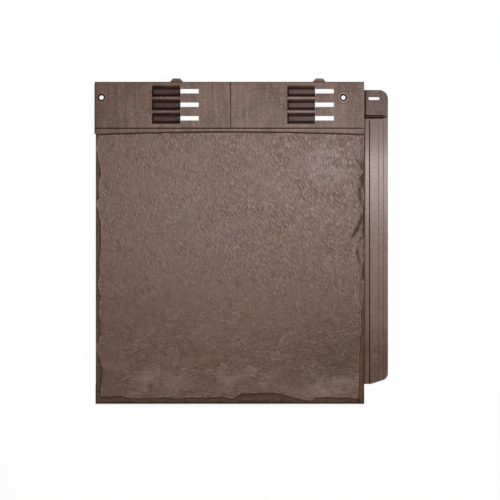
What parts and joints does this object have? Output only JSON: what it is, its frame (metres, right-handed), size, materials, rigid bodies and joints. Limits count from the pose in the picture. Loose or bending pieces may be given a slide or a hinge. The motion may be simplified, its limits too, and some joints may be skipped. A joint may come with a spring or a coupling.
{
  "type": "plastic roof tile",
  "caption": "Slate-faced plastic roof tile with chipped edges, a nailed head with slotted hook windows, and a side flange that the next tile laps over.",
  "frame": {"origin": "middle of the tile's bounding box, on the floor it lies on", "axes": "+X towards the side flange, +Y from the tail to the head, +Z out of the slate face"},
  "size_m": [0.3264, 0.362, 0.0148],
  "materials": {
    "tile_plastic": "grained slate face, smoother head and flange"
  },
  "bodies": {
    "root": {"roof_tile": "tile_plastic"}
  },
  "joints": []
}
